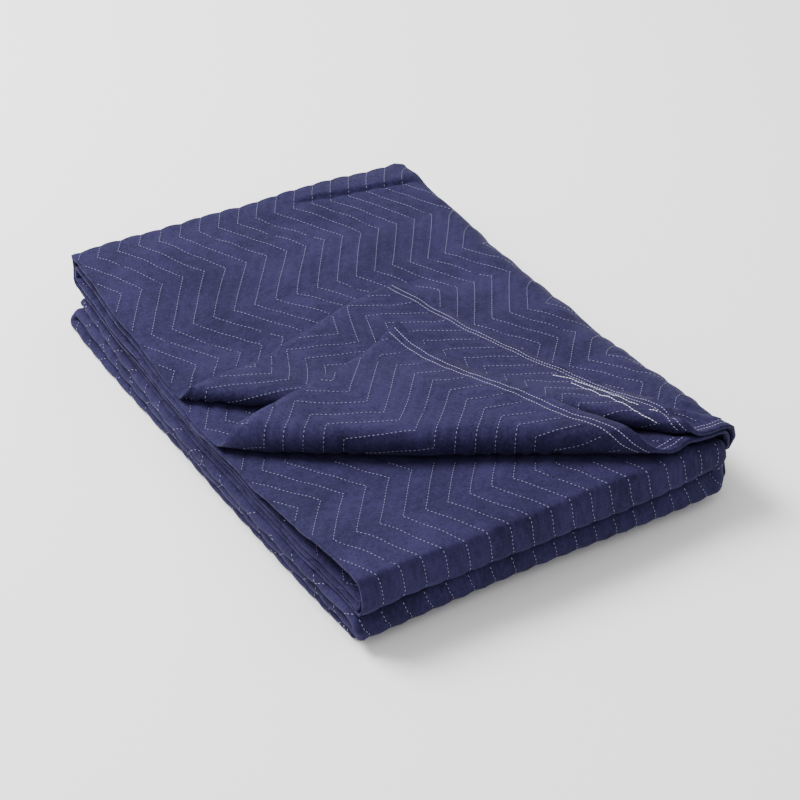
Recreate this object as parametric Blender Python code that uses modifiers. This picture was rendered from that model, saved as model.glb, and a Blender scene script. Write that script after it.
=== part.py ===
"""A quilted moving blanket, folded into a stack of twelve layers, with its front left corner turned back.

The blanket is one flat cloth. It is folded in half across its width, in three along its length like a letter,
and in half across its width again. Then the two top layers are rolled back over their slanting creases.
In the stack, X runs to the right along the front edge, Y to the back and Z up.
"""
import math

import bmesh
import bpy
import numpy as np

# Sizes in metres
CLOTH_WIDTH = 1.83
CLOTH_LENGTH = 2.00
CLOTH_THICK = 0.004
PITCH = 0.0058  # from the middle of one layer to the middle of the next
FOLDS_HIGH = 5.5  # layers from the middle of the stack to the middle of its outermost one
LAST_FOLD_ARC = math.pi * 3 * PITCH  # what the last fold takes of the cloth, at its third layer
LAST_FOLD_PRESS = 0.92  # the last fold's reach to the side, for each metre of its height
MIDDLE_HEIGHT = FOLDS_HIGH * PITCH + CLOTH_THICK / 2

# Loft of the loose folds, and the sag between them
FRONT_LOFT = 0.017
FRONT_LOFT_REACH = 0.30
EVEN_LOFT = 0.004
BACK_LOFT = 0.014
BACK_LOFT_REACH = 0.34
BACK_CORNER_LOFT = 0.006
BACK_CORNER_WIDE = 0.22
BACK_CORNER_DEEP = 0.30
NEAR_BACK = 0.03
LOFT_LOST = 0.5  # the share of the loft that the last fold presses out
LOFT_LOST_FROM = 0.25
LOFT_LOST_TO = 0.44
LOW_LOFT_FRONT = 0.008
LOW_LOFT_BACK = 0.003
TOP_WAVE = 0.0012
LOW_FRONT_SAG = 0.0045  # how far the lower front fold sags before the lower hem
TOP_HEM_LIFT = 0.007  # how far the top hem gapes beside the last fold
GAPE_WIDE = 0.10
GAPE_DEEP = 0.07

# How far the layers lie out of line sideways
FOLD_SWELL = 0.004  # how far a loose fold bulges past the stack
FOLD_SWELL_REACH = 0.05
SIDE_BULGE_TOP = 0.012
SIDE_BULGE_LOW = 0.014
SIDE_BULGE_REACH = 0.25
BACK_BULGE_TOP = 0.25  # the bulge's share that is left at the back, in the upper half
BACK_BULGE_LOW = 1.0
FRONT_BULGE = 0.2  # and the share that is left at the front
FRONT_BULGE_REACH = 0.25
EDGE_STAGGER = 0.0022  # how far the left edges of the layers lie out of line
RIGHT_DRAW = 0.012  # how far the right side of the top draws in at the middle
FRONT_WAVE = 0.002
FRONT_WAVE_REACH = 0.12
RIGHT_NOTCH = 0.007  # how far the front folds draw back between the two halves, where they turn over
RIGHT_NOTCH_IN = 0.013  # and how far they draw in there
NOTCH_HIGH = 0.018
NOTCH_REACH = 0.04
LEFT_NOTCH = 0.013  # how far the layers between the two halves draw in at the back left corner
LEFT_NOTCH_AT = -0.006  # height of that notch from the middle
STAGGER_TURNED = 1.5  # how far the lower half's edges fall out of line the other way at the back
LOW_HEM_BACK = 0.012  # how far the lower hem lies behind the front
LOW_HEM_REACH = 0.30

# The two turned back layers: where each crease meets the left edge and the front, and how wide its roll is
TOP_CREASE = {"left": 0.378, "front": 0.422, "roll": 0.009, "bow": -0.005, "pull": (-0.062, 0.020)}
SECOND_CREASE = {"left": 0.291, "front": 0.373, "roll": 0.0155, "bow": 0.013, "pull": (0.018, 0.050)}
CREASE_FADE = 0.07  # the length beside the last fold in which the rolls die out
PULL_REACH = 0.26  # how far behind its roll a flap is pulled aside in full
ROLL_PINCH = 0.65  # the roll's share of its width at its left end
ROLL_PINCH_REACH = 0.12
FLAP_SETTLE = 0.075  # how far behind its roll a flap comes to rest
FLAP_AIR = 0.0012

# Steps of the flat pattern along each stretch of cloth
NEAR_FRONT = 0.060  # the stretch beside the front folds where the steps are shorter
LONG_STEPS = {"near_front": 3, "top": 12, "fold": 6, "middle": 8, "bottom": 5}
WIDE_STEPS = {"upper": 13, "last_fold": 7, "lower": 5, "first_fold": 4}
ROLL_STEPS = 6

NAVY = (0.060, 0.060, 0.165, 1.0)

FIRST_FOLD_RADIUS = PITCH / 2
FIRST_FOLD_AT = (CLOTH_WIDTH - math.pi * FIRST_FOLD_RADIUS) / 2
UPPER_WIDTH = (FIRST_FOLD_AT + FIRST_FOLD_RADIUS - LAST_FOLD_ARC) / 2
SECTION = (CLOTH_LENGTH - 2 * math.pi * PITCH) / 3
FRONT_FOLD_Y = 1.5 * PITCH + CLOTH_THICK / 2
BACK_FOLD_Y = FRONT_FOLD_Y + SECTION
STACK_WIDTH = UPPER_WIDTH + LAST_FOLD_PRESS * FOLDS_HIGH * PITCH + CLOTH_THICK / 2
STACK_DEPTH = BACK_FOLD_Y + FRONT_FOLD_Y


def smooth(value, start, end):
    """A soft step from 0 at start to 1 at end."""
    share = np.clip((value - start) / (end - start), 0, 1)
    return share * share * (3 - 2 * share)


def soft_max(first, second, blend):
    """The larger of two heights, rounded off where they cross."""
    gap = np.clip(0.5 + 0.5 * (first - second) / blend, 0, 1)
    return second + (first - second) * gap + blend * gap * (1 - gap)


def fold_in_half(across):
    """Place across the doubled strip, and height above its middle, for a place across the flat cloth."""
    turn = np.clip((across - FIRST_FOLD_AT) / FIRST_FOLD_RADIUS, 0, math.pi)
    before = np.minimum(across, FIRST_FOLD_AT)
    after = np.maximum(across - FIRST_FOLD_AT - math.pi * FIRST_FOLD_RADIUS, 0)
    strip = before + FIRST_FOLD_RADIUS * np.sin(turn) - after
    return strip, FIRST_FOLD_RADIUS * np.cos(turn)


def fold_in_three(along, height):
    """Depth, and level above the packet's underside, for a place along the strip."""
    back_start = SECTION
    back_end = back_start + math.pi * PITCH
    front_start = back_end + SECTION
    front_end = front_start + math.pi * PITCH
    back_turn = np.clip((along - back_start) / PITCH, 0, math.pi)
    front_turn = np.clip((along - front_start) / PITCH, 0, math.pi)
    depth = FRONT_FOLD_Y + np.minimum(along, back_start)
    depth = depth - np.clip(along - back_end, 0, SECTION) + np.maximum(along - front_end, 0)
    depth = depth + (PITCH + height) * np.sin(back_turn) - (PITCH - height) * np.sin(front_turn)
    around_back = 4 * PITCH + (PITCH + height) * np.cos(back_turn)
    around_front = 2 * PITCH + (PITCH - height) * np.cos(front_turn)
    return depth, np.where(along < front_start, around_back, around_front)


def fold_over(strip, level):
    """Place across the stack and height above its middle, once the packet is folded over at the right."""
    turn = np.clip((strip - UPPER_WIDTH) / LAST_FOLD_ARC, 0, 1) * math.pi
    before = np.minimum(strip, UPPER_WIDTH)
    after = np.maximum(strip - UPPER_WIDTH - LAST_FOLD_ARC, 0)
    return before - after + LAST_FOLD_PRESS * level * np.sin(turn), level * np.cos(turn)


def loft(x, y, z):
    """The height of a point once the loose folds have risen, for a place in the neat stack."""
    layer = z / PITCH
    share = 1 - LOFT_LOST * smooth(x, LOFT_LOST_FROM, LOFT_LOST_TO)
    front = FRONT_LOFT * (1 - smooth(y, 0.0, FRONT_LOFT_REACH)) + EVEN_LOFT
    back = BACK_LOFT * smooth(y, STACK_DEPTH - BACK_LOFT_REACH, STACK_DEPTH - NEAR_BACK)
    corner = smooth(y, STACK_DEPTH - BACK_CORNER_DEEP, STACK_DEPTH - NEAR_BACK)
    corner = corner * (1 - smooth(x, 0.0, BACK_CORNER_WIDE))
    back = back + BACK_CORNER_LOFT * corner
    rise = share * (front * smooth(layer, 2.5, 3.5) + back * smooth(layer, 3.5, 5.5))
    low = LOW_LOFT_FRONT + (LOW_LOFT_BACK - LOW_LOFT_FRONT) * smooth(y, 0.0, STACK_DEPTH)
    rise = rise + low * smooth(layer, -4.5, -0.5)
    before_hem = 1 - smooth(y, 0.002, FRONT_FOLD_Y + LOW_HEM_BACK)
    rise = rise - LOW_FRONT_SAG * before_hem * smooth(-layer, 0.0, 1.5) * (1 - smooth(-layer, 3.6, 4.4))
    gape = smooth(x, UPPER_WIDTH - GAPE_WIDE, UPPER_WIDTH - GAPE_WIDE / 5) * (1 - smooth(y, 0.0, GAPE_DEEP))
    rise = rise + TOP_HEM_LIFT * gape * smooth(layer, 3.6, 4.4)
    wave = np.sin(9.0 * x + 2.0) * np.sin(13.0 * y + 0.6) + 0.5 * np.sin(21.0 * x + 8.0 * y)
    return MIDDLE_HEIGHT + z + rise + TOP_WAVE * wave * smooth(layer, 3.5, 4.5)


def drift(x, y, z):
    """Sideways unevenness: the left side bulges, the right side draws in, and the front is a little wavy."""
    layer = z / PITCH
    low = smooth(-layer, -1.0, 1.0)
    to_back = smooth(y, 0.5 * STACK_DEPTH, STACK_DEPTH)
    bow = np.sin(math.pi * np.clip(y / STACK_DEPTH, 0, 1))
    bulge = SIDE_BULGE_TOP + (SIDE_BULGE_LOW - SIDE_BULGE_TOP) * low
    at_front = FRONT_BULGE * (1 - smooth(y, 0.0, FRONT_BULGE_REACH))
    at_back = (BACK_BULGE_TOP + (BACK_BULGE_LOW - BACK_BULGE_TOP) * low) * to_back
    bulge = bulge * (bow + at_front + at_back)
    loose = np.sin(1.7 * layer + 5.0 * y) * smooth(layer, 0.0, 1.0)
    pairs = 1.6 * smooth(layer, -2.4, -1.6) * (1 - smooth(layer, -0.6, 0.4)) - 1.2 * smooth(-layer, 3.6, 4.4)
    left = 1 - smooth(x, 0.0, SIDE_BULGE_REACH)
    drawn = RIGHT_DRAW * bow * smooth(x, SIDE_BULGE_REACH, STACK_WIDTH) * smooth(layer, -1.0, 5.5)
    near_front = 1 - smooth(y, 0.0, FRONT_WAVE_REACH)
    notch = np.exp(-((z / NOTCH_HIGH) ** 2)) * near_front
    notch_in = RIGHT_NOTCH_IN * notch * smooth(x, UPPER_WIDTH - 2 * NOTCH_REACH, UPPER_WIDTH)
    pairs = pairs * (1 - STAGGER_TURNED * to_back)
    left_notch = LEFT_NOTCH * np.exp(-(((z - LEFT_NOTCH_AT) / NOTCH_HIGH) ** 2)) * to_back
    new_x = x - (bulge + EDGE_STAGGER * (loose + pairs) - left_notch) * left - drawn - notch_in
    notch_back = RIGHT_NOTCH * notch * smooth(x, UPPER_WIDTH - NOTCH_REACH, UPPER_WIDTH + 0.75 * NOTCH_REACH)
    wave = FRONT_WAVE * np.sin(16.0 * x + 0.35 * layer) * near_front
    return new_x, y + wave + notch_back


def stack(across, along):
    """Where a place on the flat cloth lies in the neat stack, before the corner is turned back."""
    strip, height = fold_in_half(across)
    depth, level = fold_in_three(along, height)
    x, z = fold_over(strip, level)
    layer = z / PITCH
    to_back = smooth(depth, BACK_FOLD_Y - FOLD_SWELL_REACH, BACK_FOLD_Y) * smooth(layer, 0.0, 2.0)
    to_front = (1 - smooth(depth, FRONT_FOLD_Y, FRONT_FOLD_Y + FOLD_SWELL_REACH)) * smooth(layer, -0.4, 0.4)
    behind_front = LOW_HEM_BACK * (1 - smooth(along, 0.0, LOW_HEM_REACH)) * smooth(-layer, -4.0, 2.0)
    return x, depth + FOLD_SWELL * (to_back - to_front) + behind_front, z


def crease_frame(crease):
    """The start of a crease on the left edge, its direction to the front right, and the one square to it."""
    start = np.array([0.0, crease["left"]])
    end = np.array([crease["front"], FRONT_FOLD_Y])
    line = (end - start) / np.linalg.norm(end - start)
    forwards = np.array([line[1], -line[0]])
    return start, line, forwards


def along_crease(x, y, crease):
    """How far a plan place is along a crease and past it, and how wide the roll is there."""
    start, line, forwards = crease_frame(crease)
    run = (x - start[0]) * line[0] + (y - start[1]) * line[1]
    past = (x - start[0]) * forwards[0] + (y - start[1]) * forwards[1]
    past = past - crease["bow"] * np.sin(math.pi * np.clip(run / UPPER_WIDTH, 0, 1))
    local = crease["roll"] * (ROLL_PINCH + (1 - ROLL_PINCH) * smooth(run, 0.0, ROLL_PINCH_REACH))
    return run, past, local


def roll_back(x, y, crease):
    """Plan place, turn, distance behind the crease and roll width of a layer rolled back over its crease."""
    start, line, forwards = crease_frame(crease)
    run, past, local = along_crease(x, y, crease)
    past = past * np.where(past > 0, 1 - smooth(x, UPPER_WIDTH - CREASE_FADE, UPPER_WIDTH), 1.0)
    turn = np.clip(past / local, 0, math.pi)
    behind = np.maximum(past - math.pi * local, 0)
    shift = np.where(past > 0, local * np.sin(turn) - behind - past, 0.0)
    pull = smooth(behind, 0.0, PULL_REACH)
    flap_x = x + shift * forwards[0] + crease["pull"][0] * pull
    flap_y = y + shift * forwards[1] + crease["pull"][1] * pull
    return flap_x, flap_y, turn, behind, local


def top_flap_rise(behind, local):
    """How high the top layer's flap lies over its own layer."""
    rest = PITCH + FLAP_AIR
    return np.maximum(2 * local - (2 * local - rest) * smooth(behind, 0.0, FLAP_SETTLE), rest)


def under_second_flap(x, y):
    """How high the second flap passes over its own layer to clear the top layer, its roll and its flap."""
    run, past, local = along_crease(x, y, TOP_CREASE)
    return 2 * PITCH + top_flap_rise(np.maximum(-past, 0), local) + FLAP_AIR


def fold(across, along):
    """Where a place on the flat cloth lies in the finished stack."""
    x, y, z = stack(across, along)
    new_x, new_y = drift(x, y, z)
    height = loft(x, y, z)
    on_top = (along < SECTION) & (z > 4 * PITCH)
    top = on_top & (across < UPPER_WIDTH)
    second = on_top & (across > CLOTH_WIDTH - UPPER_WIDTH)

    roll_x, roll_y, turn, behind, local = roll_back(x, y, TOP_CREASE)
    rise = np.where(turn < math.pi, local * (1 - np.cos(turn)), top_flap_rise(behind, local))
    flap_x, flap_y = drift(roll_x, roll_y, z)
    new_x = np.where(top, flap_x, new_x)
    new_y = np.where(top, flap_y, new_y)
    height = np.where(top, loft(roll_x, roll_y, z) + rise, height)

    roll_x, roll_y, turn, behind, local = roll_back(x, y, SECOND_CREASE)
    lying = soft_max(
        2 * local * (1 - smooth(behind, 0.0, 1.4 * FLAP_SETTLE)), under_second_flap(roll_x, roll_y), 0.004
    )
    joined = smooth(turn, 0.5 * math.pi, math.pi)
    rise = local * (1 - np.cos(turn)) * (1 - joined) + lying * joined
    flap_x, flap_y = drift(roll_x, roll_y, z)
    new_x = np.where(second, flap_x, new_x)
    new_y = np.where(second, flap_y, new_y)
    height = np.where(second, loft(roll_x, roll_y, z) + rise, height)
    return new_x - STACK_WIDTH / 2, new_y - STACK_DEPTH / 2, height


def stretches(lengths, steps):
    """The cuts of the flat pattern along one direction: each stretch is divided evenly."""
    cuts = [0.0]
    for length, count in zip(lengths, steps):
        cuts += [cuts[-1] + length * (index + 1) / count for index in range(count)]
    return cuts


def cut_grid(mesh):
    """The flat cloth as a grid whose lines lie close together where the folds come."""
    turn = math.pi * PITCH
    rest = SECTION - NEAR_FRONT
    long_cuts = stretches(
        [NEAR_FRONT, rest, turn, rest, NEAR_FRONT, turn, NEAR_FRONT, rest],
        [
            LONG_STEPS[name]
            for name in ("near_front", "top", "fold", "middle", "near_front", "fold", "near_front", "bottom")
        ],
    )
    lower = FIRST_FOLD_AT - UPPER_WIDTH - LAST_FOLD_ARC
    first_fold = CLOTH_WIDTH - 2 * FIRST_FOLD_AT
    wide_cuts = stretches(
        [UPPER_WIDTH, LAST_FOLD_ARC, lower, first_fold, lower, LAST_FOLD_ARC, UPPER_WIDTH],
        [
            WIDE_STEPS[name]
            for name in ("upper", "last_fold", "lower", "first_fold", "lower", "last_fold", "upper")
        ],
    )
    columns = len(wide_cuts) - 1
    rows = len(long_cuts) - 1
    bmesh.ops.create_grid(mesh, x_segments=columns, y_segments=rows, size=1.0)
    for vert in mesh.verts:
        column = round((vert.co.x + 1) / 2 * columns)
        row = round((vert.co.y + 1) / 2 * rows)
        vert.co = (wide_cuts[column], long_cuts[row], 0.0)


def cut_roll(mesh, crease, mirrored):
    """Cuts one layer's stretch of the flat cloth along its roll, so the roll bends across clean lines."""
    start, line, forwards = crease_frame(crease)
    sign = -1.0 if mirrored else 1.0
    for step in range(ROLL_STEPS + 1):
        past = math.pi * crease["roll"] * step / ROLL_STEPS
        place = (start[0] + past * forwards[0], start[1] + past * forwards[1] - FRONT_FOLD_Y)
        across = CLOTH_WIDTH - place[0] if mirrored else place[0]
        stretch = [
            face
            for face in mesh.faces
            if face.calc_center_median().y < SECTION
            and (CLOTH_WIDTH - face.calc_center_median().x if mirrored else face.calc_center_median().x)
            < UPPER_WIDTH
        ]
        edges = {edge for face in stretch for edge in face.edges}
        verts = {vert for face in stretch for vert in face.verts}
        bmesh.ops.bisect_plane(
            mesh,
            geom=stretch + list(edges) + list(verts),
            plane_co=(across, place[1], 0.0),
            plane_no=(sign * forwards[0], forwards[1], 0.0),
            dist=0.002,
        )


def navy_cloth():
    """Matt navy woven cloth."""
    material = bpy.data.materials.new("navy_cloth")
    material.use_nodes = True
    shader = material.node_tree.nodes["Principled BSDF"]
    shader.inputs["Base Color"].default_value = NAVY
    shader.inputs["Roughness"].default_value = 0.9
    shader.inputs["Metallic"].default_value = 0.0
    return material


def folded_blanket():
    """The blanket: its flat pattern, folded and given its thickness."""
    pattern = bmesh.new()
    cut_grid(pattern)
    cut_roll(pattern, TOP_CREASE, mirrored=False)
    cut_roll(pattern, SECOND_CREASE, mirrored=True)
    flat = np.array([vert.co for vert in pattern.verts])
    x, y, z = fold(flat[:, 0], flat[:, 1])
    for vert, place in zip(pattern.verts, np.column_stack([x, y, z])):
        vert.co = place
    bmesh.ops.triangulate(pattern, faces=pattern.faces[:])
    mesh = bpy.data.meshes.new("blanket")
    pattern.to_mesh(mesh)
    pattern.free()
    mesh.shade_smooth()
    mesh.materials.append(navy_cloth())
    blanket = bpy.data.objects.new("blanket", mesh)
    thick = blanket.modifiers.new("thickness", "SOLIDIFY")
    thick.thickness = CLOTH_THICK
    thick.offset = 0.0
    return blanket


def main():
    for old in list(bpy.data.objects):
        bpy.data.objects.remove(old, do_unlink=True)
    collection = bpy.data.collections.new("moving_blanket")
    bpy.context.scene.collection.children.link(collection)
    collection.objects.link(folded_blanket())


main()
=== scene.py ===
"""The quilted moving blanket: its cloth with zigzag quilting, its stitches, the floor, light and camera.

The cloth is one flat pattern, quilted along zigzag rows and folded as in the model. Its places are given
across and along the flat cloth. A UV map holds them in metres, so the weave follows the folds, and the
attribute named quilting holds each point's row and its place along the row.
"""
import math

import bmesh
import bpy
import numpy as np
from mathutils import Matrix, Vector
from mathutils.bvhtree import BVHTree


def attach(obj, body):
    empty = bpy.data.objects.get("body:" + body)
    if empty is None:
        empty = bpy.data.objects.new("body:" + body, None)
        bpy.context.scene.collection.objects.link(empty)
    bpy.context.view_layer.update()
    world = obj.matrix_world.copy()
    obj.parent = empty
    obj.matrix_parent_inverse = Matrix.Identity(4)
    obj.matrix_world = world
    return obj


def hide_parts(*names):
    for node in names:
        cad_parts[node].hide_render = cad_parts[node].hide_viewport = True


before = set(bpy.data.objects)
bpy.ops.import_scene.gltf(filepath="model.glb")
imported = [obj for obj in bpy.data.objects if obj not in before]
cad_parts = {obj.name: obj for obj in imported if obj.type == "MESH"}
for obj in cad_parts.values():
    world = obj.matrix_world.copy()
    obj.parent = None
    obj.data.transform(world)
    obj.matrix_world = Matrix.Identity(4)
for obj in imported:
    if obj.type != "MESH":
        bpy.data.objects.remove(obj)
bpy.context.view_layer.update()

# Sizes in metres
CLOTH_WIDTH = 1.83
CLOTH_LENGTH = 2.00
CLOTH_THICK = 0.004
PITCH = 0.0058  # from the middle of one layer to the middle of the next
FOLDS_HIGH = 5.5  # layers from the middle of the stack to the middle of its outermost one
LAST_FOLD_ARC = math.pi * 3 * PITCH  # what the last fold takes of the cloth, at its third layer
LAST_FOLD_PRESS = 0.92  # the last fold's reach to the side, for each metre of its height
MIDDLE_HEIGHT = FOLDS_HIGH * PITCH + CLOTH_THICK / 2

# Loft of the loose folds, and the sag between them
FRONT_LOFT = 0.017
FRONT_LOFT_REACH = 0.30
EVEN_LOFT = 0.004
BACK_LOFT = 0.014
BACK_LOFT_REACH = 0.34
BACK_CORNER_LOFT = 0.006
BACK_CORNER_WIDE = 0.22
BACK_CORNER_DEEP = 0.30
NEAR_BACK = 0.03
LOFT_LOST = 0.5  # the share of the loft that the last fold presses out
LOFT_LOST_FROM = 0.25
LOFT_LOST_TO = 0.44
LOW_LOFT_FRONT = 0.008
LOW_LOFT_BACK = 0.003
TOP_WAVE = 0.0012
LOW_FRONT_SAG = 0.0045  # how far the lower front fold sags before the lower hem
TOP_HEM_LIFT = 0.007  # how far the top hem gapes beside the last fold
GAPE_WIDE = 0.10
GAPE_DEEP = 0.07

# How far the layers lie out of line sideways
FOLD_SWELL = 0.004  # how far a loose fold bulges past the stack
FOLD_SWELL_REACH = 0.05
SIDE_BULGE_TOP = 0.012
SIDE_BULGE_LOW = 0.014
SIDE_BULGE_REACH = 0.25
BACK_BULGE_TOP = 0.25  # the bulge's share that is left at the back, in the upper half
BACK_BULGE_LOW = 1.0
FRONT_BULGE = 0.2  # and the share that is left at the front
FRONT_BULGE_REACH = 0.25
EDGE_STAGGER = 0.0022  # how far the left edges of the layers lie out of line
RIGHT_DRAW = 0.012  # how far the right side of the top draws in at the middle
FRONT_WAVE = 0.002
FRONT_WAVE_REACH = 0.12
RIGHT_NOTCH = 0.007  # how far the front folds draw back between the two halves, where they turn over
RIGHT_NOTCH_IN = 0.013  # and how far they draw in there
NOTCH_HIGH = 0.018
NOTCH_REACH = 0.04
LEFT_NOTCH = 0.013  # how far the layers between the two halves draw in at the back left corner
LEFT_NOTCH_AT = -0.006  # height of that notch from the middle
STAGGER_TURNED = 1.5  # how far the lower half's edges fall out of line the other way at the back
LOW_HEM_BACK = 0.012  # how far the lower hem lies behind the front
LOW_HEM_REACH = 0.30

# The two turned back layers: where each crease meets the left edge and the front, and how wide its roll is
TOP_CREASE = {"left": 0.378, "front": 0.422, "roll": 0.009, "bow": -0.005, "pull": (-0.062, 0.020)}
SECOND_CREASE = {"left": 0.291, "front": 0.373, "roll": 0.0155, "bow": 0.013, "pull": (0.018, 0.050)}
CREASE_FADE = 0.07  # the length beside the last fold in which the rolls die out
PULL_REACH = 0.26  # how far behind its roll a flap is pulled aside in full
ROLL_PINCH = 0.65  # the roll's share of its width at its left end
ROLL_PINCH_REACH = 0.12
FLAP_SETTLE = 0.075  # how far behind its roll a flap comes to rest
FLAP_AIR = 0.0012

FIRST_FOLD_RADIUS = PITCH / 2
FIRST_FOLD_AT = (CLOTH_WIDTH - math.pi * FIRST_FOLD_RADIUS) / 2
UPPER_WIDTH = (FIRST_FOLD_AT + FIRST_FOLD_RADIUS - LAST_FOLD_ARC) / 2
SECTION = (CLOTH_LENGTH - 2 * math.pi * PITCH) / 3
FRONT_FOLD_Y = 1.5 * PITCH + CLOTH_THICK / 2
BACK_FOLD_Y = FRONT_FOLD_Y + SECTION
STACK_WIDTH = UPPER_WIDTH + LAST_FOLD_PRESS * FOLDS_HIGH * PITCH + CLOTH_THICK / 2
STACK_DEPTH = BACK_FOLD_Y + FRONT_FOLD_Y

# Quilting: zigzag rows, which lie a little askew on the cloth
ROW = 0.0245
ROW_START = 0.0235
ZIG_SWING = 0.024
ROWS_ASKEW = math.radians(2.3)  # between the rows and the cloth's length
TURNS_ASKEW = math.radians(3.2)  # between the lines of the rows' turns and the cloth's width
# Places along the quilting where the rows turn: furthest left first, then furthest right, and so on
ZIG_TURNS = (
    -0.190, -0.118, -0.050, 0.016, 0.084, 0.140, 0.208, 0.262, 0.330, 0.408, 0.477, 0.558, 0.638, 0.720,
    0.802, 0.884, 0.966, 1.048, 1.130, 1.213, 1.296, 1.364, 1.460, 1.545, 1.625, 1.705, 1.785, 1.865,
    1.945, 2.025, 2.105, 2.185,
)
SEAM_HALF = 0.0011  # half the cloth's thickness at a stitched row
PUFF_HALF = 0.0025  # and midway between two rows
HEM_WIDTH = 0.019
HEM_HALF = 0.0019

# Mesh steps
FINE_PER_ROW = 4
COARSE_PER_ROW = 2
FINE_STEP = 0.0115
COARSE_STEP = 0.046
LENGTH_FOLD_CUTS = 9
FIRST_FOLD_CUTS = 6
LAST_FOLD_CUTS = 7
FINE_LEFT = 0.47  # the quilting is finely meshed left of this
FINE_RIGHT = 1.19  # and right of this
FINE_LENGTH = 1.62

SLIVER = 0.0007  # corners of the pattern closer than this are joined

# Puckers beside the stitched rows, in the cloth's shading, and painted shade along each row, where the cloth
# sinks at its stitches
PUCKERS_PER_METRE = 170.0
PUCKER_REACH = 0.30  # as a share of a row
PUCKER_HIGH = 0.0016
PAINTED_SEAM_SHADE_REACH = 0.045

# Soft wrinkles: the way each runs in degrees, from crest to crest, its height and where it starts
WRINKLES = (
    (18.0, 0.092, 0.0007, 0.3),
    (71.0, 0.067, 0.0006, 1.7),
    (124.0, 0.049, 0.0006, 4.1),
    (158.0, 0.036, 0.0004, 2.2),
    (98.0, 0.029, 0.0003, 5.0),
)
SWAY = 0.0011  # how far the rows wander from side to side

# The tuck across the back right corner of the top, in the stack's frame
TUCK_START = (0.052, 0.3105)
TUCK_END = (0.205, 0.2870)
TUCK_LIP = 0.0042
TUCK_CUTS = (-0.011, -0.0065, -0.0035, -0.001, 0.0005, 0.002, 0.006, 0.013)

# The tip of the second flap, curled up
TIP_CURL = 0.007
TIP_REACH = 0.017

# Lumps of the gathered hem at the front right: place in the stack's frame, how wide and how high
GATHERS = (
    ((0.128, -0.300), 0.012, -0.0025),
    ((0.146, -0.281), 0.012, 0.0040),
    ((0.163, -0.299), 0.010, -0.0035),
    ((0.158, -0.324), 0.010, 0.0040),
    ((0.184, -0.284), 0.012, 0.0035),
    ((0.196, -0.312), 0.011, -0.0030),
    ((0.120, -0.262), 0.014, 0.0020),
)

# Dents and ridges of the top: both ends, how wide and how high
CREASES = (
    ((-0.222, 0.150), (-0.120, 0.062), 0.010, -0.0022),
    ((-0.235, 0.060), (-0.150, 0.058), 0.009, 0.0022),
    ((-0.205, 0.095), (-0.165, 0.045), 0.007, -0.0018),
    ((-0.225, 0.250), (-0.100, 0.318), 0.016, 0.0016),
    ((-0.040, 0.330), (0.060, 0.215), 0.018, -0.0014),
    ((0.060, 0.170), (0.190, 0.205), 0.016, 0.0014),
    ((0.020, 0.115), (0.170, 0.060), 0.014, -0.0014),
    ((-0.200, -0.180), (-0.120, -0.260), 0.014, -0.0012),
    ((0.020, -0.300), (0.110, -0.325), 0.012, 0.0012),
    ((0.105, -0.275), (0.160, -0.322), 0.007, 0.0036),
    ((0.125, -0.258), (0.178, -0.318), 0.007, -0.0040),
    ((0.148, -0.248), (0.198, -0.310), 0.007, 0.0040),
    ((0.172, -0.256), (0.215, -0.300), 0.007, -0.0036),
)

# Stitches
STITCH_PITCH = 0.0046
STITCH_LONG = 0.0034
STITCH_WIDE = 0.0007
STITCH_HIGH = 0.0006
HEM_LONG = STITCH_LONG * 0.9
HEM_WIDE = STITCH_WIDE * 1.1
HEM_ROWS = (0.008, 0.0145)
STITCH_AIM = 0.0006  # a stitch points along its row over this distance to each side
HEM_PITCH = 0.0036
BRIGHT_LONG = HEM_PITCH * 1.1  # the bright stitches overlap a little
BRIGHT_WIDE = STITCH_WIDE * 1.5
BRIGHT_HIGH = STITCH_HIGH * 1.3
LINE_STEP = 0.0011
EDGE_MARGIN = 0.003
OPEN_VIEW = 0.012  # a stitch is made where the cloth before it is open this far

# Two rows of brighter thread beside the top layer's hem, as places across and along the flat cloth
BRIGHT_ROWS = (
    ((0.256, 0.0330), (0.276, 0.0300), (0.302, 0.0325), (0.331, 0.0345), (0.352, 0.0320), (0.370, 0.0260)),
    ((0.232, 0.0310), (0.248, 0.0215), (0.268, 0.0190), (0.292, 0.0200), (0.317, 0.0230), (0.362, 0.0195)),
)

# Camera, fitted to the photograph in the stack's own frame
PHOTO_FRAME = 800
CAMERA_AT = (-0.96589, -1.71699, 1.43351)
CAMERA_AZIMUTH = math.radians(29.561)
CAMERA_PITCH = math.radians(36.023)
CAMERA_ROLL = math.radians(-1.675)
CAMERA_FOCAL_PIXELS = 2185.9
SENSOR = 36.0

# Colours
CLOTH_DARK = (0.0068, 0.0058, 0.0280, 1.0)
CLOTH_LIGHT = (0.0220, 0.0180, 0.0670, 1.0)
CLOTH_SHEEN = (0.40, 0.38, 0.66, 1.0)
# painted shade: the colour that darkens the cloth along each stitched row
PAINTED_SEAM_SHADE = (0.55, 0.55, 0.60, 1.0)
THREAD = (0.26, 0.26, 0.44)
HEM_THREAD = (0.42, 0.42, 0.58)
BRIGHT_THREAD = (0.85, 0.85, 0.95)
FLOOR_COLOUR = (0.97, 0.97, 0.97, 1.0)

# Floor and lamp
FLOOR_HALF = 6.0
FLOOR_DROP = 0.0005
KEY_AT = (-1.2, 1.8, 2.8)
KEY_SIZE = 1.8
KEY_POWER = 270.0


def smooth(value, start, end):
    """A soft step from 0 at start to 1 at end."""
    share = np.clip((value - start) / (end - start), 0, 1)
    return share * share * (3 - 2 * share)


def soft_max(first, second, blend):
    """The larger of two heights, rounded off where they cross."""
    gap = np.clip(0.5 + 0.5 * (first - second) / blend, 0, 1)
    return second + (first - second) * gap + blend * gap * (1 - gap)


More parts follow.
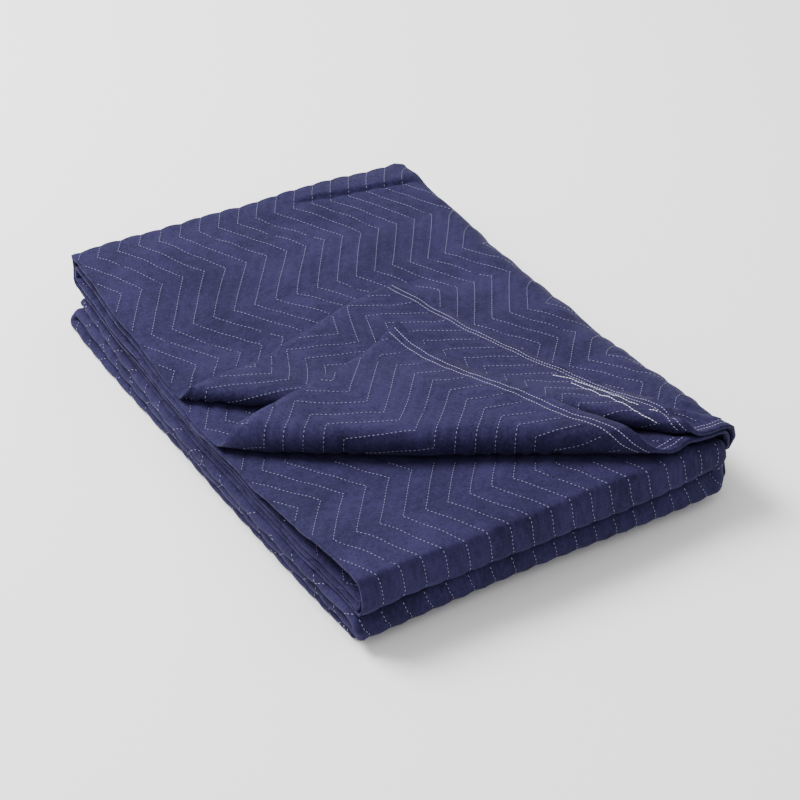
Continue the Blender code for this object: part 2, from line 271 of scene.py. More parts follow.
def fold_in_half(across):
    """Place across the doubled strip, and height above its middle, for a place across the flat cloth."""
    turn = np.clip((across - FIRST_FOLD_AT) / FIRST_FOLD_RADIUS, 0, math.pi)
    before = np.minimum(across, FIRST_FOLD_AT)
    after = np.maximum(across - FIRST_FOLD_AT - math.pi * FIRST_FOLD_RADIUS, 0)
    strip = before + FIRST_FOLD_RADIUS * np.sin(turn) - after
    return strip, FIRST_FOLD_RADIUS * np.cos(turn)


def fold_in_three(along, height):
    """Depth, and level above the packet's underside, for a place along the strip."""
    back_start = SECTION
    back_end = back_start + math.pi * PITCH
    front_start = back_end + SECTION
    front_end = front_start + math.pi * PITCH
    back_turn = np.clip((along - back_start) / PITCH, 0, math.pi)
    front_turn = np.clip((along - front_start) / PITCH, 0, math.pi)
    depth = FRONT_FOLD_Y + np.minimum(along, back_start)
    depth = depth - np.clip(along - back_end, 0, SECTION) + np.maximum(along - front_end, 0)
    depth = depth + (PITCH + height) * np.sin(back_turn) - (PITCH - height) * np.sin(front_turn)
    around_back = 4 * PITCH + (PITCH + height) * np.cos(back_turn)
    around_front = 2 * PITCH + (PITCH - height) * np.cos(front_turn)
    return depth, np.where(along < front_start, around_back, around_front)


def fold_over(strip, level):
    """Place across the stack and height above its middle, once the packet is folded over at the right."""
    turn = np.clip((strip - UPPER_WIDTH) / LAST_FOLD_ARC, 0, 1) * math.pi
    before = np.minimum(strip, UPPER_WIDTH)
    after = np.maximum(strip - UPPER_WIDTH - LAST_FOLD_ARC, 0)
    return before - after + LAST_FOLD_PRESS * level * np.sin(turn), level * np.cos(turn)


def loft(x, y, z):
    """The height of a point once the loose folds have risen, for a place in the neat stack."""
    layer = z / PITCH
    share = 1 - LOFT_LOST * smooth(x, LOFT_LOST_FROM, LOFT_LOST_TO)
    front = FRONT_LOFT * (1 - smooth(y, 0.0, FRONT_LOFT_REACH)) + EVEN_LOFT
    back = BACK_LOFT * smooth(y, STACK_DEPTH - BACK_LOFT_REACH, STACK_DEPTH - NEAR_BACK)
    corner = smooth(y, STACK_DEPTH - BACK_CORNER_DEEP, STACK_DEPTH - NEAR_BACK)
    corner = corner * (1 - smooth(x, 0.0, BACK_CORNER_WIDE))
    back = back + BACK_CORNER_LOFT * corner
    rise = share * (front * smooth(layer, 2.5, 3.5) + back * smooth(layer, 3.5, 5.5))
    low = LOW_LOFT_FRONT + (LOW_LOFT_BACK - LOW_LOFT_FRONT) * smooth(y, 0.0, STACK_DEPTH)
    rise = rise + low * smooth(layer, -4.5, -0.5)
    before_hem = 1 - smooth(y, 0.002, FRONT_FOLD_Y + LOW_HEM_BACK)
    rise = rise - LOW_FRONT_SAG * before_hem * smooth(-layer, 0.0, 1.5) * (1 - smooth(-layer, 3.6, 4.4))
    gape = smooth(x, UPPER_WIDTH - GAPE_WIDE, UPPER_WIDTH - GAPE_WIDE / 5) * (1 - smooth(y, 0.0, GAPE_DEEP))
    rise = rise + TOP_HEM_LIFT * gape * smooth(layer, 3.6, 4.4)
    wave = np.sin(9.0 * x + 2.0) * np.sin(13.0 * y + 0.6) + 0.5 * np.sin(21.0 * x + 8.0 * y)
    return MIDDLE_HEIGHT + z + rise + TOP_WAVE * wave * smooth(layer, 3.5, 4.5)


def drift(x, y, z):
    """Sideways unevenness: the left side bulges, the right side draws in, and the front is a little wavy."""
    layer = z / PITCH
    low = smooth(-layer, -1.0, 1.0)
    to_back = smooth(y, 0.5 * STACK_DEPTH, STACK_DEPTH)
    bow = np.sin(math.pi * np.clip(y / STACK_DEPTH, 0, 1))
    bulge = SIDE_BULGE_TOP + (SIDE_BULGE_LOW - SIDE_BULGE_TOP) * low
    at_front = FRONT_BULGE * (1 - smooth(y, 0.0, FRONT_BULGE_REACH))
    at_back = (BACK_BULGE_TOP + (BACK_BULGE_LOW - BACK_BULGE_TOP) * low) * to_back
    bulge = bulge * (bow + at_front + at_back)
    loose = np.sin(1.7 * layer + 5.0 * y) * smooth(layer, 0.0, 1.0)
    pairs = 1.6 * smooth(layer, -2.4, -1.6) * (1 - smooth(layer, -0.6, 0.4)) - 1.2 * smooth(-layer, 3.6, 4.4)
    left = 1 - smooth(x, 0.0, SIDE_BULGE_REACH)
    drawn = RIGHT_DRAW * bow * smooth(x, SIDE_BULGE_REACH, STACK_WIDTH) * smooth(layer, -1.0, 5.5)
    near_front = 1 - smooth(y, 0.0, FRONT_WAVE_REACH)
    notch = np.exp(-((z / NOTCH_HIGH) ** 2)) * near_front
    notch_in = RIGHT_NOTCH_IN * notch * smooth(x, UPPER_WIDTH - 2 * NOTCH_REACH, UPPER_WIDTH)
    pairs = pairs * (1 - STAGGER_TURNED * to_back)
    left_notch = LEFT_NOTCH * np.exp(-(((z - LEFT_NOTCH_AT) / NOTCH_HIGH) ** 2)) * to_back
    new_x = x - (bulge + EDGE_STAGGER * (loose + pairs) - left_notch) * left - drawn - notch_in
    notch_back = RIGHT_NOTCH * notch * smooth(x, UPPER_WIDTH - NOTCH_REACH, UPPER_WIDTH + 0.75 * NOTCH_REACH)
    wave = FRONT_WAVE * np.sin(16.0 * x + 0.35 * layer) * near_front
    return new_x, y + wave + notch_back


def stack(across, along):
    """Where a place on the flat cloth lies in the neat stack, before the corner is turned back."""
    strip, height = fold_in_half(across)
    depth, level = fold_in_three(along, height)
    x, z = fold_over(strip, level)
    layer = z / PITCH
    to_back = smooth(depth, BACK_FOLD_Y - FOLD_SWELL_REACH, BACK_FOLD_Y) * smooth(layer, 0.0, 2.0)
    to_front = (1 - smooth(depth, FRONT_FOLD_Y, FRONT_FOLD_Y + FOLD_SWELL_REACH)) * smooth(layer, -0.4, 0.4)
    behind_front = LOW_HEM_BACK * (1 - smooth(along, 0.0, LOW_HEM_REACH)) * smooth(-layer, -4.0, 2.0)
    return x, depth + FOLD_SWELL * (to_back - to_front) + behind_front, z


def crease_frame(crease):
    """The start of a crease on the left edge, its direction to the front right, and the one square to it."""
    start = np.array([0.0, crease["left"]])
    end = np.array([crease["front"], FRONT_FOLD_Y])
    line = (end - start) / np.linalg.norm(end - start)
    forwards = np.array([line[1], -line[0]])
    return start, line, forwards


def along_crease(x, y, crease):
    """How far a plan place is along a crease and past it, and how wide the roll is there."""
    start, line, forwards = crease_frame(crease)
    run = (x - start[0]) * line[0] + (y - start[1]) * line[1]
    past = (x - start[0]) * forwards[0] + (y - start[1]) * forwards[1]
    past = past - crease["bow"] * np.sin(math.pi * np.clip(run / UPPER_WIDTH, 0, 1))
    local = crease["roll"] * (ROLL_PINCH + (1 - ROLL_PINCH) * smooth(run, 0.0, ROLL_PINCH_REACH))
    return run, past, local


def roll_back(x, y, crease):
    """Plan place, turn, distance behind the crease and roll width of a layer rolled back over its crease."""
    start, line, forwards = crease_frame(crease)
    run, past, local = along_crease(x, y, crease)
    past = past * np.where(past > 0, 1 - smooth(x, UPPER_WIDTH - CREASE_FADE, UPPER_WIDTH), 1.0)
    turn = np.clip(past / local, 0, math.pi)
    behind = np.maximum(past - math.pi * local, 0)
    shift = np.where(past > 0, local * np.sin(turn) - behind - past, 0.0)
    pull = smooth(behind, 0.0, PULL_REACH)
    flap_x = x + shift * forwards[0] + crease["pull"][0] * pull
    flap_y = y + shift * forwards[1] + crease["pull"][1] * pull
    return flap_x, flap_y, turn, behind, local


def top_flap_rise(behind, local):
    """How high the top layer's flap lies over its own layer."""
    rest = PITCH + FLAP_AIR
    return np.maximum(2 * local - (2 * local - rest) * smooth(behind, 0.0, FLAP_SETTLE), rest)


def under_second_flap(x, y):
    """How high the second flap passes over its own layer to clear the top layer, its roll and its flap."""
    run, past, local = along_crease(x, y, TOP_CREASE)
    return 2 * PITCH + top_flap_rise(np.maximum(-past, 0), local) + FLAP_AIR


def fold(across, along):
    """Where a place on the flat cloth lies in the finished stack."""
    x, y, z = stack(across, along)
    new_x, new_y = drift(x, y, z)
    height = loft(x, y, z)
    on_top = (along < SECTION) & (z > 4 * PITCH)
    top = on_top & (across < UPPER_WIDTH)
    second = on_top & (across > CLOTH_WIDTH - UPPER_WIDTH)

    roll_x, roll_y, turn, behind, local = roll_back(x, y, TOP_CREASE)
    rise = np.where(turn < math.pi, local * (1 - np.cos(turn)), top_flap_rise(behind, local))
    flap_x, flap_y = drift(roll_x, roll_y, z)
    new_x = np.where(top, flap_x, new_x)
    new_y = np.where(top, flap_y, new_y)
    height = np.where(top, loft(roll_x, roll_y, z) + rise, height)

    roll_x, roll_y, turn, behind, local = roll_back(x, y, SECOND_CREASE)
    lying = soft_max(
        2 * local * (1 - smooth(behind, 0.0, 1.4 * FLAP_SETTLE)), under_second_flap(roll_x, roll_y), 0.004
    )
    joined = smooth(turn, 0.5 * math.pi, math.pi)
    rise = local * (1 - np.cos(turn)) * (1 - joined) + lying * joined
    flap_x, flap_y = drift(roll_x, roll_y, z)
    new_x = np.where(second, flap_x, new_x)
    new_y = np.where(second, flap_y, new_y)
    height = np.where(second, loft(roll_x, roll_y, z) + rise, height)
    return new_x - STACK_WIDTH / 2, new_y - STACK_DEPTH / 2, height


def beside_quilting(across, along):
    """Where a place on the flat cloth lies beside the quilting's rows, and how far along them."""
    side = across * math.cos(ROWS_ASKEW) - along * math.sin(ROWS_ASKEW)
    length = along * math.cos(TURNS_ASKEW) + across * math.sin(TURNS_ASKEW)
    return side, length


def on_cloth(side, length):
    """The place on the flat cloth of a place beside and along the quilting."""
    spread = math.cos(ROWS_ASKEW - TURNS_ASKEW)
    across = (side * math.cos(TURNS_ASKEW) + length * math.sin(ROWS_ASKEW)) / spread
    along = (length * math.cos(ROWS_ASKEW) - side * math.sin(TURNS_ASKEW)) / spread
    return across, along


def zigzag(length):
    """How far a quilting row swings to the side at a place along it."""
    swings = [-ZIG_SWING if index % 2 == 0 else ZIG_SWING for index in range(len(ZIG_TURNS))]
    return ROW_START + np.interp(length, ZIG_TURNS, swings)


def row_number(across, along):
    """A place's number among the rows: whole on a row, and a half midway between two."""
    side, length = beside_quilting(across, along)
    return (side - zigzag(length)) / ROW


def row_range():
    """The numbers of the first and the last row that cross the cloth."""
    first = (beside_quilting(0.0, CLOTH_LENGTH)[0] - ROW_START - ZIG_SWING) / ROW
    last = (beside_quilting(CLOTH_WIDTH, 0.0)[0] - ROW_START + ZIG_SWING) / ROW
    return math.floor(first), math.ceil(last)


def half_thickness(across, along):
    """Half the cloth's thickness: thin at the stitched rows, puffed between them, even in the hems."""
    between = np.abs(np.mod(row_number(across, along) + 0.5, 1.0) - 0.5) * 2
    puff = SEAM_HALF + (PUFF_HALF - SEAM_HALF) * (1 - (1 - between) ** 2.2)
    to_end = np.minimum(along, CLOTH_LENGTH - along)
    hem = 1 - smooth(to_end, HEM_WIDTH - 0.003, HEM_WIDTH + 0.003)
    stitched = np.zeros_like(to_end)
    for row in HEM_ROWS:
        stitched = np.maximum(stitched, np.exp(-(((to_end - row) / 0.0016) ** 2)))
    hem_half = HEM_HALF - 0.0007 * stitched
    to_side = np.minimum(across, CLOTH_WIDTH - across)
    return (puff * (1 - hem) + hem_half * hem) * (0.75 + 0.25 * smooth(to_side, 0.0, 0.008))


def length_cuts():
    """Places along the quilting where the mesh has a line: every turn of its rows, and evenly between."""
    cuts = [ZIG_TURNS[0]]
    for start, stop in zip(ZIG_TURNS[:-1], ZIG_TURNS[1:]):
        step = FINE_STEP if start < FINE_LENGTH else COARSE_STEP
        count = max(1, round((stop - start) / step))
        cuts += [start + (stop - start) * (index + 1) / count for index in range(count)]
    return cuts


def row_cuts():
    """Row numbers where the mesh has a line: close together where the cloth shows."""
    first, last = row_range()
    cuts = [float(first)]
    for row in range(first, last):
        fine = row * ROW < FINE_LEFT or row * ROW > FINE_RIGHT
        count = FINE_PER_ROW if fine else COARSE_PER_ROW
        cuts += [row + (index + 1) / count for index in range(count)]
    return cuts


def cut_straight(pattern, across, along, towards, trim=False):
    """Cuts the flat pattern along a straight line, and takes off what lies beyond it if asked."""
    bmesh.ops.bisect_plane(
        pattern,
        geom=pattern.verts[:] + pattern.edges[:] + pattern.faces[:],
        plane_co=(across, along, 0.0),
        plane_no=(*towards, 0.0),
        clear_outer=trim,
        dist=0.0003,
    )


def cut_tuck(pattern, beside):
    """Cuts the top layer's stretch of the pattern along its tuck."""
    line = Vector(TUCK_END) - Vector(TUCK_START)
    line.normalize()
    towards = Vector((-line.y, line.x))
    corner = Vector((STACK_WIDTH / 2, STACK_DEPTH / 2 - FRONT_FOLD_Y))
    start = Vector(TUCK_START) + corner + towards * beside
    faces = [
        face
        for face in pattern.faces
        if face.calc_center_median().x < UPPER_WIDTH
        and (Vector(face.calc_center_median()[:2]) - start).dot(line) > -0.02
        and abs((Vector(face.calc_center_median()[:2]) - start).dot(towards)) < 0.02
    ]
    edges = {edge for face in faces for edge in face.edges}
    verts = {vert for face in faces for vert in face.verts}
    bmesh.ops.bisect_plane(
        pattern,
        geom=faces + list(edges) + list(verts),
        plane_co=(start.x, start.y, 0.0),
        plane_no=(towards.x, towards.y, 0.0),
        dist=0.0003,
    )


def evenly(start, end, count):
    return [start + (end - start) * index / count for index in range(count + 1)]


def flat_pattern():
    """The flat cloth as quads along the zigzag rows, trimmed at its sides and cut along its folds."""
    lengths = length_cuts()
    rows = row_cuts()
    pattern = bmesh.new()
    columns = len(rows) - 1
    lines = len(lengths) - 1
    bmesh.ops.create_grid(pattern, x_segments=columns, y_segments=lines, size=1.0)
    swings = [float(zigzag(np.float64(place))) for place in lengths]
    for vert in pattern.verts:
        column = round((vert.co.x + 1) / 2 * columns)
        line = round((vert.co.y + 1) / 2 * lines)
        across, along = on_cloth(rows[column] * ROW + swings[line], lengths[line])
        vert.co = (across, along, 0.0)
    cut_straight(pattern, 0.0, 0.0, (-1.0, 0.0), trim=True)
    cut_straight(pattern, CLOTH_WIDTH, 0.0, (1.0, 0.0), trim=True)
    cut_straight(pattern, 0.0, 0.0, (0.0, -1.0), trim=True)
    cut_straight(pattern, 0.0, CLOTH_LENGTH, (0.0, 1.0), trim=True)
    turn = math.pi * PITCH
    for start in (SECTION, 2 * SECTION + turn):
        for along in evenly(start, start + turn, LENGTH_FOLD_CUTS):
            cut_straight(pattern, 0.0, along, (0.0, 1.0))
    for start in (UPPER_WIDTH, CLOTH_WIDTH - UPPER_WIDTH - LAST_FOLD_ARC):
        for across in evenly(start, start + LAST_FOLD_ARC, LAST_FOLD_CUTS):
            cut_straight(pattern, across, 0.0, (1.0, 0.0))
    for across in evenly(FIRST_FOLD_AT, CLOTH_WIDTH - FIRST_FOLD_AT, FIRST_FOLD_CUTS):
        cut_straight(pattern, across, 0.0, (1.0, 0.0))
    for along in (*HEM_ROWS, HEM_WIDTH):
        cut_straight(pattern, 0.0, along, (0.0, 1.0))
        cut_straight(pattern, 0.0, CLOTH_LENGTH - along, (0.0, 1.0))
    for beside in TUCK_CUTS:
        cut_tuck(pattern, beside)
    bmesh.ops.remove_doubles(pattern, verts=pattern.verts[:], dist=SLIVER)
    pattern.verts.index_update()
    flat = np.array([vert.co[:2] for vert in pattern.verts])
    faces = [[vert.index for vert in face.verts] for face in pattern.faces]
    rim = []
    for edge in pattern.edges:
        if edge.is_boundary:
            loop = edge.link_loops[0]
            rim.append((loop.vert.index, loop.link_loop_next.vert.index))
    pattern.free()
    flat[:, 0] = np.clip(flat[:, 0], 0.0, CLOTH_WIDTH)
    flat[:, 1] = np.clip(flat[:, 1], 0.0, CLOTH_LENGTH)
    return flat, faces, rim


def line_share(x, y, start, end):
    """How far places are along a line from its start to its end, and how far to its left."""
    line = np.array(end) - np.array(start)
    length = np.linalg.norm(line)
    line = line / length
    run = (x - start[0]) * line[0] + (y - start[1]) * line[1]
    beside = (y - start[1]) * line[0] - (x - start[0]) * line[1]
    return run / length, beside


def tuck_rise(x, y):
    """The lip of the tuck at the back right, and the groove before it."""
    share, beside = line_share(x, y, TUCK_START, TUCK_END)
    strength = smooth(share, -0.2, 0.2)
    lip = smooth(beside, -0.001, 0.002) * (1 - smooth(beside, 0.004, 0.045))
    groove = np.exp(-(((beside + 0.003) / 0.003) ** 2))
    return strength * (TUCK_LIP * lip - 0.5 * TUCK_LIP * groove)


def wrinkle(x, y):
    """Height of the soft wrinkles at a place in plan."""
    height = 0.0
    for degrees, crest, high, start in WRINKLES:
        way = math.radians(degrees)
        swell = 0.65 + 0.35 * np.sin(11.0 * x + 7.0 * y + 3.0 * start)
        bend = 0.9 * np.sin(17.0 * (y * math.cos(way) - x * math.sin(way)) + start)
        onward = x * math.cos(way) + y * math.sin(way)
        height = height + high * swell * np.sin(math.tau * onward / crest + bend)
    for start, end, wide, high in CREASES:
        share, beside = line_share(x, y, start, end)
        length = smooth(share, -0.1, 0.3) * (1 - smooth(share, 0.7, 1.1))
        height = height + high * np.exp(-((beside / wide) ** 2)) * length
    for (middle_x, middle_y), wide, high in GATHERS:
        height = height + high * np.exp(-(((x - middle_x) ** 2 + (y - middle_y) ** 2) / wide**2))
    return height


def cloth_place(across, along):
    """The middle surface of the folded cloth: an array of places."""
    x, y, z = fold(across, along)
    up = smooth(z, 0.0, 0.08)
    top = smooth(z, 0.045, 0.090)
    new_x = x + SWAY * up * (np.sin(31.0 * y + 9.0 * x) + 0.6 * np.sin(57.0 * y - 20.0 * x + 1.0))
    new_y = y + 0.6 * SWAY * up * np.sin(36.0 * x + 21.0 * y + 2.0)
    from_tip = np.hypot(across - CLOTH_WIDTH, along)
    curl = TIP_CURL * np.exp(-((from_tip / TIP_REACH) ** 2))
    return np.stack([new_x, new_y, z + wrinkle(x, y) * up + tuck_rise(x, y) * top + curl], axis=-1)


def cloth_frame(across, along):
    """Places on the folded cloth's middle surface, with the directions square to it, across and along."""
    reach = 0.0006
    place = cloth_place(across, along)
    low_a, high_a = np.maximum(across - reach, 0), np.minimum(across + reach, CLOTH_WIDTH)
    low_b, high_b = np.maximum(along - reach, 0), np.minimum(along + reach, CLOTH_LENGTH)
    side = cloth_place(high_a, along) - cloth_place(low_a, along)
    length = cloth_place(across, high_b) - cloth_place(across, low_b)
    side /= np.linalg.norm(side, axis=-1, keepdims=True)
    length /= np.linalg.norm(length, axis=-1, keepdims=True)
    face = np.cross(side, length)
    face /= np.maximum(np.linalg.norm(face, axis=-1, keepdims=True), 1e-9)
    return place, face, side, length


def vector_attribute(mesh, name, values):
    layer = mesh.attributes.new(name, "FLOAT_VECTOR", "POINT")
    layer.data.foreach_set("vector", np.asarray(values, dtype=np.float32).ravel())


def make_cloth():
    """The quilted cloth: two puffed faces, and the rim that joins them."""
    flat, faces, rim = flat_pattern()
    place, face, side, length = cloth_frame(flat[:, 0], flat[:, 1])
    half = half_thickness(flat[:, 0], flat[:, 1])[:, None]
    count = len(flat)
    points = np.concatenate([place + face * half, place - face * half])
    polygons = [list(loop) for loop in faces]
    polygons += [[index + count for index in reversed(loop)] for loop in faces]
    polygons += [[second, first, first + count, second + count] for first, second in rim]
    mesh = bpy.data.meshes.new("cloth")
    mesh.from_pydata(points.tolist(), [], polygons)
    mesh.shade_smooth()
    corner_verts = np.empty(len(mesh.loops), dtype=np.int32)
    mesh.loops.foreach_get("vertex_index", corner_verts)
    uv = mesh.uv_layers.new(name="cloth_metres")
    uv.data.foreach_set("uv", flat[corner_verts % count].astype(np.float32).ravel())
    length_on = beside_quilting(flat[:, 0], flat[:, 1])[1]
    rows = np.stack([row_number(flat[:, 0], flat[:, 1]), length_on, np.zeros(count)], axis=-1)
    vector_attribute(mesh, "quilting", np.concatenate([rows, rows]))
    cloth = bpy.data.objects.new("cloth", mesh)
    bpy.context.scene.collection.objects.link(cloth)
    return cloth


def shows(tree, place, outwards):
    """True where nothing lies close before the cloth."""
    start = Vector(place) + Vector(outwards) * 0.0008
    return tree.ray_cast(start, Vector(outwards), OPEN_VIEW)[0] is None


def stitch_places(across, along, pitch, tree):
    """Stitches evenly along a line on the cloth, on both its faces, where the cloth shows."""
    path = cloth_place(across, along)
    steps = np.linalg.norm(np.diff(path, axis=0), axis=-1)
    run = np.concatenate([[0.0], np.cumsum(steps)])
    marks = np.arange(pitch / 2, run[-1], pitch)
    across_at, along_at = np.interp(marks, run, across), np.interp(marks, run, along)
    ahead = np.stack([np.interp(marks + STITCH_AIM, run, path[:, axis]) for axis in range(3)], axis=-1)
    behind = np.stack([np.interp(marks - STITCH_AIM, run, path[:, axis]) for axis in range(3)], axis=-1)
    place, face, side, length = cloth_frame(across_at, along_at)
    half = half_thickness(across_at, along_at)[:, None]
    found = []
    for sign in (1.0, -1.0):
        outwards = face * sign
        spots = place + outwards * (half + 0.0001)
        for spot, line, out in zip(spots, ahead - behind, outwards):
            if shows(tree, spot, out):
                found.append((spot, line, out))
    return found


def quilting_stitches(tree):
    """The stitches of every zigzag row, for each stretch of it that lies on the cloth."""
    length = np.arange(0.0, beside_quilting(CLOTH_WIDTH, CLOTH_LENGTH)[1], LINE_STEP)
    swing = zigzag(length)
    found = []
    first, last = row_range()
    for row in range(first, last + 1):
        across, along = on_cloth(row * ROW + swing, length)
        inside = (across > EDGE_MARGIN) & (across < CLOTH_WIDTH - EDGE_MARGIN)
        inside &= (along > HEM_WIDTH) & (along < CLOTH_LENGTH - HEM_WIDTH)
        changes = np.flatnonzero(np.diff(inside.astype(int), prepend=0, append=0))
        for start, end in zip(changes[::2], changes[1::2]):
            if end - start > 1:
                found += stitch_places(across[start:end], along[start:end], STITCH_PITCH, tree)
    return found


def hem_stitches(tree):
    """The two rows of stitches along each hem, and the two brighter ones beside the top layer's hem."""
    across = np.arange(EDGE_MARGIN, CLOTH_WIDTH - EDGE_MARGIN, LINE_STEP)
    plain, bright = [], []
    for row in HEM_ROWS:
        plain += stitch_places(across, np.full_like(across, row), HEM_PITCH, tree)
        plain += stitch_places(across, np.full_like(across, CLOTH_LENGTH - row), HEM_PITCH, tree)
    for row in BRIGHT_ROWS:
        marks_across, marks_along = zip(*row)
        stretch = np.arange(marks_across[0], marks_across[-1], LINE_STEP)
        bright += stitch_places(stretch, np.interp(stretch, marks_across, marks_along), HEM_PITCH, tree)
    return plain, bright


def stitch_tree(material):
    """Geometry Nodes: a small rounded stitch on every point, lying along its row and flat on the cloth."""
    tree = bpy.data.node_groups.new("stitches_on_rows", "GeometryNodeTree")
    face = tree.interface
    face.new_socket("Geometry", in_out="INPUT", socket_type="NodeSocketGeometry")
    for name in ("Length", "Width", "Height"):
        face.new_socket(name, in_out="INPUT", socket_type="NodeSocketFloat")
    face.new_socket("Geometry", in_out="OUTPUT", socket_type="NodeSocketGeometry")
    nodes, links = tree.nodes, tree.links
    given = nodes.new("NodeGroupInput")
    result = nodes.new("NodeGroupOutput")
    bead = nodes.new("GeometryNodeMeshIcoSphere")
    bead.inputs["Radius"].default_value = 0.5
    bead.inputs["Subdivisions"].default_value = 1
    size = nodes.new("ShaderNodeCombineXYZ")
    shaped = nodes.new("GeometryNodeTransform")
    points = nodes.new("GeometryNodeMeshToPoints")
    run = nodes.new("GeometryNodeInputNamedAttribute")
    run.data_type = "FLOAT_VECTOR"
    run.inputs["Name"].default_value = "run"
    out = nodes.new("GeometryNodeInputNamedAttribute")
    out.data_type = "FLOAT_VECTOR"
    out.inputs["Name"].default_value = "out"
    lay = nodes.new("FunctionNodeAlignRotationToVector")
    lay.axis = "X"
    stand = nodes.new("FunctionNodeAlignRotationToVector")
    stand.axis = "Z"
    stand.pivot_axis = "X"
    place = nodes.new("GeometryNodeInstanceOnPoints")
    real = nodes.new("GeometryNodeRealizeInstances")
    soft = nodes.new("GeometryNodeSetShadeSmooth")
    paint = nodes.new("GeometryNodeSetMaterial")
    paint.inputs["Material"].default_value = material
    links.new(given.outputs["Length"], size.inputs["X"])
    links.new(given.outputs["Width"], size.inputs["Y"])
    links.new(given.outputs["Height"], size.inputs["Z"])
    links.new(bead.outputs["Mesh"], shaped.inputs["Geometry"])
    links.new(size.outputs["Vector"], shaped.inputs["Scale"])
    links.new(given.outputs["Geometry"], points.inputs["Mesh"])
    links.new(points.outputs["Points"], place.inputs["Points"])
    links.new(shaped.outputs["Geometry"], place.inputs["Instance"])
    links.new(run.outputs["Attribute"], lay.inputs["Vector"])
    links.new(lay.outputs["Rotation"], stand.inputs["Rotation"])
    links.new(out.outputs["Attribute"], stand.inputs["Vector"])
    links.new(stand.outputs["Rotation"], place.inputs["Rotation"])
    links.new(place.outputs["Instances"], real.inputs["Geometry"])
    links.new(real.outputs["Geometry"], soft.inputs["Geometry"])
    links.new(soft.outputs["Geometry"], paint.inputs["Geometry"])
    links.new(paint.outputs["Geometry"], result.inputs["Geometry"])
    return tree


def make_stitches(name, found, tree, material, long, wide, high):
    """One piece of many stitches, made by the node tree and turned into a plain mesh."""
    mesh = bpy.data.meshes.new(name + "_points")
    mesh.from_pydata([tuple(spot) for spot, line, out in found], [], [])
    vector_attribute(mesh, "run", [line for spot, line, out in found])
    vector_attribute(mesh, "out", [out for spot, line, out in found])
    holder = bpy.data.objects.new(name + "_points", mesh)
    bpy.context.scene.collection.objects.link(holder)
    maker = holder.modifiers.new("stitches", "NODES")
    maker.node_group = tree
    sizes = {"Length": long, "Width": wide, "Height": high}
    for item in tree.interface.items_tree:
        if item.in_out == "INPUT" and item.name in sizes:
            maker[item.identifier] = sizes[item.name]
    ready = holder.evaluated_get(bpy.context.evaluated_depsgraph_get())
    made = bpy.data.meshes.new_from_object(ready)
    made.name = name
    piece = bpy.data.objects.new(name, made)
    bpy.context.scene.collection.objects.link(piece)
    bpy.data.objects.remove(holder, do_unlink=True)
    return piece


class Wiring:
    """Adds maths nodes to a shader group in a few words."""

    def __init__(self, group):
        self.nodes = group.nodes
        self.links = group.links

    def feed(self, socket, value):
        if isinstance(value, bpy.types.NodeSocket):
            self.links.new(value, socket)
        else:
            socket.default_value = value

    def maths(self, kind, first, second=0.0):
        node = self.nodes.new("ShaderNodeMath")
        node.operation = kind
        self.feed(node.inputs[0], first)
        self.feed(node.inputs[1], second)
        return node.outputs["Value"]

    def noise(self, vector, scale, detail, rough):
        node = self.nodes.new("ShaderNodeTexNoise")
        node.inputs["Scale"].default_value = scale
        node.inputs["Detail"].default_value = detail
        node.inputs["Roughness"].default_value = rough
        self.feed(node.inputs["Vector"], vector)
        return node.outputs["Fac"]

    def fade(self, value, start, end):
        """1 at the start, falling softly to 0 at the end."""
        node = self.nodes.new("ShaderNodeMapRange")
        node.interpolation_type = "SMOOTHSTEP"
        node.inputs["From Min"].default_value = start
        node.inputs["From Max"].default_value = end
        node.inputs["To Min"].default_value = 1.0
        node.inputs["To Max"].default_value = 0.0
        self.feed(node.inputs["Value"], value)
        return node.outputs["Result"]


def new_group(name, inputs, outputs):
    """An empty shader group with its sockets, and the nodes that hold them."""
    group = bpy.data.node_groups.new(name, "ShaderNodeTree")
    for socket, kind in inputs:
        group.interface.new_socket(socket, in_out="INPUT", socket_type=kind)
    for socket, kind in outputs:
        group.interface.new_socket(socket, in_out="OUTPUT", socket_type=kind)
    return group, group.nodes.new("NodeGroupInput"), group.nodes.new("NodeGroupOutput")


def pucker_group():
    """Shader group: the puckers beside each quilting row, and painted shade along the row, where the cloth
    sinks at its stitches.
    """
    group, given, result = new_group(
        "quilting_puckers",
        [("Row", "NodeSocketFloat"), ("Length", "NodeSocketFloat")],
        [("Height", "NodeSocketFloat"), ("Seam", "NodeSocketFloat")],
    )
    wire = Wiring(group)
    row = given.outputs["Row"]
    from_row = wire.maths("PINGPONG", row, 0.5)
    spread = group.nodes.new("ShaderNodeCombineXYZ")
    wire.feed(spread.inputs["X"], wire.maths("MULTIPLY", given.outputs["Length"], PUCKERS_PER_METRE))
    wire.feed(spread.inputs["Y"], wire.maths("MULTIPLY", row, 0.8))
    folds = wire.noise(spread.outputs["Vector"], 1.0, 1.5, 0.5)
    near = wire.fade(from_row, 0.0, PUCKER_REACH)
    height = wire.maths("MULTIPLY", wire.maths("MULTIPLY", near, folds), PUCKER_HIGH)
    # painted shade along the stitched row, fading out beside it
    painted_seam_shade = wire.fade(from_row, 0.0, PAINTED_SEAM_SHADE_REACH)
    wire.feed(result.inputs["Height"], height)
    wire.feed(result.inputs["Seam"], painted_seam_shade)
    return group


